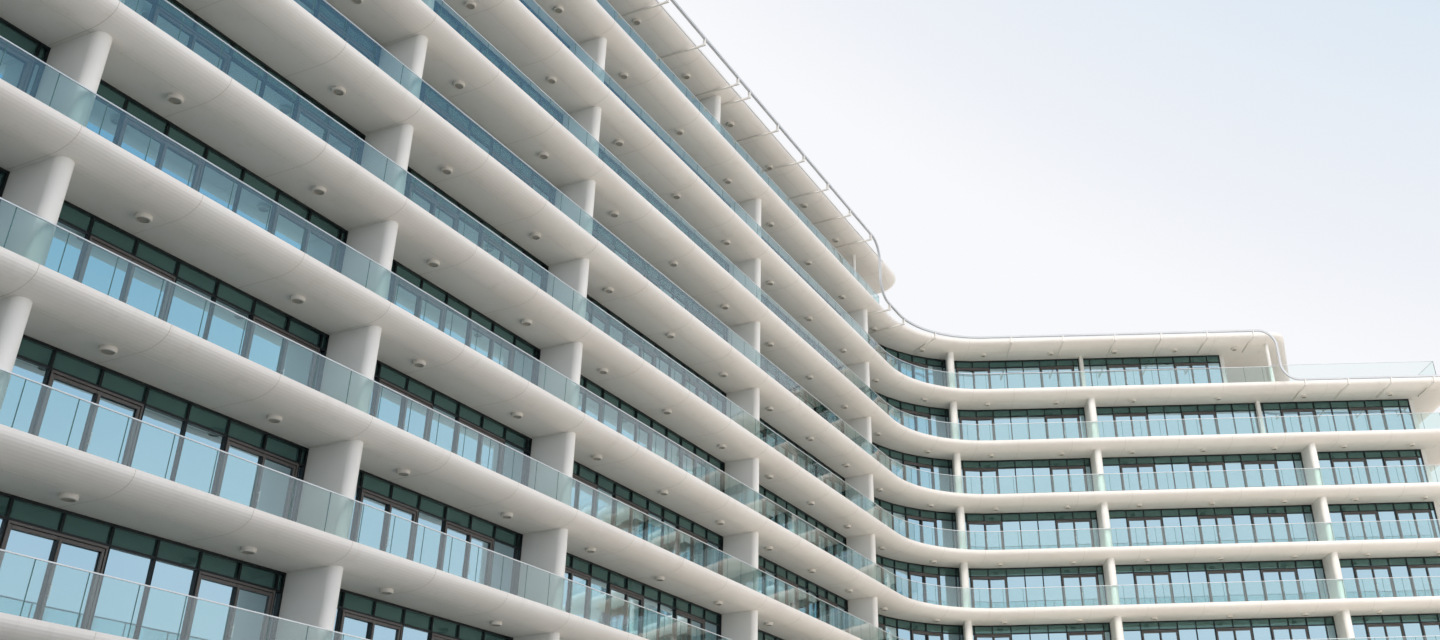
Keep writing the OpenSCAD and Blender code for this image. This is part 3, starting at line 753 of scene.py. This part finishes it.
# Soffit lights: round surface-mounted fittings of cream enamelled steel with a shallow grey
# diffuser, screwed to the soffit midway under each balcony.
LAMP_R, LAMP_H = 0.095, 0.055
LAMP_RIM = 0.014
LAMP_SET = 0.62
LAMP_PITCH = 2.35
light_mat = grained("cream_enamelled_steel", "#ece6dc", "#e2dbd0", patch=0.2, grain_mm=8.0, roughness=0.4)[0]
deselect()
bpy.ops.mesh.primitive_cylinder_add(vertices=24, radius=LAMP_R, depth=LAMP_H, location=(0, 0, -0.028))
lamp = bpy.context.object
bpy.ops.object.transform_apply(location=True, rotation=True, scale=True)
faces_picked(lamp, lambda f: f.normal.z < -0.9)
bpy.ops.mesh.bevel(offset=0.01, segments=2)
bpy.ops.object.mode_set(mode="OBJECT")
faces_picked(lamp, lambda f: f.normal.z < -0.99)
bpy.ops.mesh.inset(thickness=LAMP_RIM)
bpy.ops.mesh.extrude_region_move(TRANSFORM_OT_translate={"value": (0, 0, LAMP_RIM)})
bpy.ops.object.mode_set(mode="OBJECT")
bpy.ops.object.shade_smooth_by_angle(angle=math.radians(30))
diffuser_mat = grained("grey_diffuser", "#b5aea3", "#a8a196", patch=0.1, grain_mm=5.0, roughness=0.5)[0]
lamp.data.materials.append(light_mat)
lamp.data.materials.append(diffuser_mat)
for f in lamp.data.polygons:
    reach = max(lamp.data.vertices[v].co.xy.length for v in f.vertices)
    f.material_index = 1 if reach < 0.078 else 0


def lamp_marks(a, b):
    """Light positions of a bay: even, about a pitch apart, with half a space at each end."""
    count = max(1, round(abs(b - a) / LAMP_PITCH))
    return [a + (b - a) * (k + 0.5) / count for k in range(count)]


PENTHOUSE_LAMPS_END = 11.6
LAMPS_END = 16.8
for level in range(1, 12):
    z = level * STOREY - SLAB
    places = []
    if level == 11:
        for a, b in zip(TOP_FINS, TOP_FINS[1:] + [LEFT_LEN]):
            places += [left_at(s, LAMP_SET, z) for s in lamp_marks(a, b)]
    else:
        for a, b in zip(LEFT_FINS, LEFT_FINS[1:] + [LEFT_LEN]):
            places += [left_at(s, LAMP_SET, z) for s in lamp_marks(a, b)]
        start = TANGENT - ARC - LEFT_FINS[0]
        round_curve = lamp_marks(start, FIN_F) + lamp_marks(FIN_F, RIGHT_FINS[0] - TANGENT)
        places += [front_at(d, LAMP_SET, z) for d in round_curve]
        last = {9: UPPER_PIER, 10: PENTHOUSE_LAMPS_END}.get(level, RIGHT_FINS[1])
        places += [right_at(x, LAMP_SET, z) for x in lamp_marks(RIGHT_FINS[0], last)]
        if level < 10:
            places += [right_at(x, LAMP_SET, z) for x in lamp_marks(last, LAMPS_END)]
    lamps = join([copy_to(lamp, p) for p in places], f"soffit_lights_{level}")
    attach(lamps, "root")
bpy.data.objects.remove(lamp)

# Roof rail: square steel tube painted grey outside the roof edges, on painted arms under the
# soffit. A thin steel rod runs beside it along the left wing.
ROD_R = 0.011
ROD_START = 2.9
ROD_OUT = 0.13
ROD_UP = 0.012
rail_mat = grained("grey_painted_steel", "#d2d4d6", "#c8cbce", patch=0.7, grain_mm=15.0, roughness=0.42)[0]
arm_mat = grained("cream_painted_steel", "#f1ece4", "#e9e3da", patch=0.5, grain_mm=15.0, roughness=0.45)[0]
dress(rail_mat, "roof_rail")
dress(arm_mat, "rail_brackets")
deselect()
bpy.ops.mesh.primitive_cylinder_add(vertices=10, radius=ROD_R, depth=LEFT_LEN - ROD_START,
                                    rotation=(0, math.pi / 2, 0),
                                    location=(-(LEFT_LEN + ROD_START) / 2, -ROD_OUT,
                                              11 * STOREY - SLAB + ROD_UP))
rod = bpy.context.object
bpy.ops.object.transform_apply(location=True, rotation=True, scale=True)
bpy.ops.object.shade_smooth_by_angle(angle=math.radians(40))
rod.data.transform(left_at(0, 0, 0))
rod.name = "side_rod"
place_piece(rod, rail_mat, "rail_steel")

# Rear windows: one fixed pane of float glass each, in a slim dark frame of four mitred bars
# with one upright bar in its middle.
REAR_W, REAR_H, REAR_SILL, REAR_PITCH = 2.0, 0.85, 0.4, 3.4
REAR_BAR, REAR_DEPTH = 0.035, 0.05
DEPTH = round(cad_box[HIGH][Y] - FRONT, 4)
TOP_REAR_END = 4.7
rear_mat = grained("clear_float_glass", "#b9d0d2", "#b0c9cb", patch=2.0, grain_mm=700.0, roughness=0.03,
                   depth=0.001, Metallic=0.6, Transmission_Weight=1.0)[0]
dress(rear_mat, "rear_glass")


def rear_row(at, x0, x1, storey):
    """Places of the rear windows of one wing's storey: middle of the window's foot, outer face."""
    count = int((x1 - x0 - REAR_W) / REAR_PITCH)
    return [at((x0 + x1) / 2 + (k - count / 2) * REAR_PITCH, DEPTH, (storey - 1) * STOREY + REAR_SILL)
            for k in range(count + 1)]


rear_places = []
for i in range(1, 12):
    left_end = -TOP_REAR_END if i == 11 else -TANGENT
    rear_places += rear_row(lambda x, n, z: left_at(-x, n, z), -LEFT_LEN, left_end, i)
    if i < 11:
        right_end = edge_of("penthouse_end_wall" if i == 10 else "right_end_wall", HIGH, X)
        rear_places += rear_row(right_at, TANGENT, right_end, i)
deselect()
bpy.ops.mesh.primitive_plane_add(size=1, rotation=(-math.pi / 2, 0, 0), location=(0, -0.06, REAR_H / 2))
ring = bpy.context.object
ring.scale = (REAR_W, REAR_H, 1)
bpy.ops.object.transform_apply(location=True, rotation=True, scale=True)
faces_picked(ring, lambda f: True)
bpy.ops.mesh.inset(thickness=REAR_BAR)
bpy.ops.mesh.delete(type="FACE")
bpy.ops.object.mode_set(mode="OBJECT")
thick = ring.modifiers.new("thick", "SOLIDIFY")
thick.thickness = REAR_DEPTH
thick.offset = 0.0
bpy.ops.object.modifier_apply(modifier="thick")
middle = block((-0.015, -0.08, 0.03), (0.015, -0.04, REAR_H - 0.03))
ring = join([ring, middle], "ring")
place_piece(spread(ring, rear_places, "rear_window_frames"), frame_mat, "rail_steel")

# Rear sills: folded aluminium painted off-white, laid in the foot of each rear window's opening
# with the front edge in the wall's face.
SILL_DEPTH, SILL_T = 0.045, 0.022
sill_mat = grained("painted_sill", "#dcd7ce", "#d0cbc2", patch=0.5, grain_mm=12.0, roughness=0.45)[0]
sill = block((-REAR_W / 2, -SILL_DEPTH, 0.0), (REAR_W / 2, -0.001, SILL_T))
faces_picked(sill, lambda f: f.normal.z > 0.9)
bpy.ops.mesh.inset(thickness=0.004)
bpy.ops.mesh.extrude_region_move(TRANSFORM_OT_translate={"value": (0, 0, 0.003)})
bpy.ops.object.mode_set(mode="OBJECT")
place_piece(spread(sill, rear_places, "rear_sills"), sill_mat, "white_wall")
